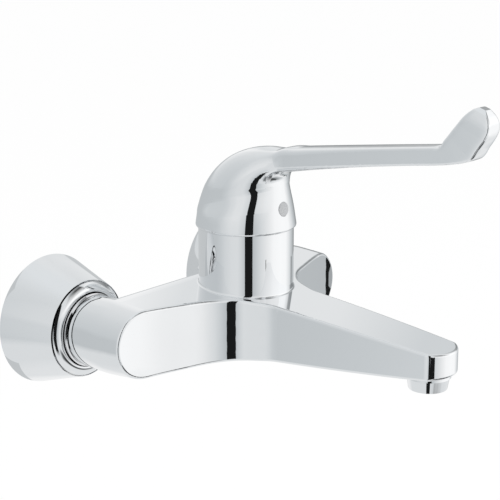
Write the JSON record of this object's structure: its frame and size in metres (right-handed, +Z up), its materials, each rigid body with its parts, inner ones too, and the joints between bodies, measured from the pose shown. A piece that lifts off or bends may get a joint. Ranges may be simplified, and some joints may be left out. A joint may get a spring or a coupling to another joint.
{
  "type": "elbow lever mixer tap",
  "caption": "Wall-mounted chrome mixer tap: conical escutcheons, straight spout with aerator, and a long elbow lever with an upturned end that swings and lifts over a ceramic disc cartridge.",
  "frame": {"origin": "on the wall plane, midway between the two inlet axes", "axes": "+Y into the wall (the spout and lever point along -Y), +Z up, +X to the right seen from the front"},
  "size_m": [0.2224, 0.2478, 0.1679],
  "materials": {
    "body_chrome": "polished chrome plate on brass",
    "lever_chrome": "polished chrome plate on brass",
    "plated_brass": "nickel plated, threaded",
    "bare_brass": "machined",
    "seal_rubber": "matt",
    "steel": "turned",
    "cartridge_plastic": "moulded",
    "ceramic": "lapped alumina ceramic",
    "aerator_plastic": "moulded",
    "index_plastic": "moulded"
  },
  "bodies": {
    "mixer": {"mixer_body": "body_chrome", "escutcheon_left": "body_chrome", "escutcheon_right": "body_chrome", "s_union_left": "plated_brass", "s_union_right": "plated_brass", "union_nut_left": "body_chrome", "union_nut_right": "body_chrome", "inlet_nipple_left": "bare_brass", "inlet_nipple_right": "bare_brass", "inlet_gasket_left": "seal_rubber", "inlet_gasket_right": "seal_rubber", "inlet_strainer_left": "steel", "inlet_strainer_right": "steel", "cartridge_base": "cartridge_plastic", "base_seals": "seal_rubber", "fixed_disc": "ceramic", "cartridge_housing": "cartridge_plastic", "retaining_ring": "bare_brass", "dome_cap": "body_chrome", "aerator_housing": "body_chrome", "aerator_insert": "aerator_plastic", "outlet_gasket": "seal_rubber"},
    "turret": {"rotor": "cartridge_plastic", "pivot_pin": "steel", "stop_ring": "cartridge_plastic"},
    "lever": {"lever": "lever_chrome", "spindle": "bare_brass", "grub_screw": "steel", "index_plug": "index_plastic"},
    "disc": {"moving_disc": "ceramic", "disc_carrier": "cartridge_plastic"}
  },
  "joints": [
    {"name": "lever_swing", "type": "hinge", "parent": "mixer", "child": "turret", "pos_m": [0, -0.0805, 0.0462], "axis": [0, 0, 1], "range_deg": [-50, 50]},
    {"name": "lever_lift", "type": "hinge", "parent": "turret", "child": "lever", "pos_m": [0, -0.0805, 0.0462], "axis": [-1, 0, 0], "range_deg": [0, 20]},
    {"name": "disc_slide", "type": "slide", "parent": "turret", "child": "disc", "axis": [0, -1, 0], "range_m": [0, 0.007]}
  ],
  "couplings": [
    {"joint": "disc_slide", "follows": "lever_lift", "m_per_rad": 0.0198}
  ]
}
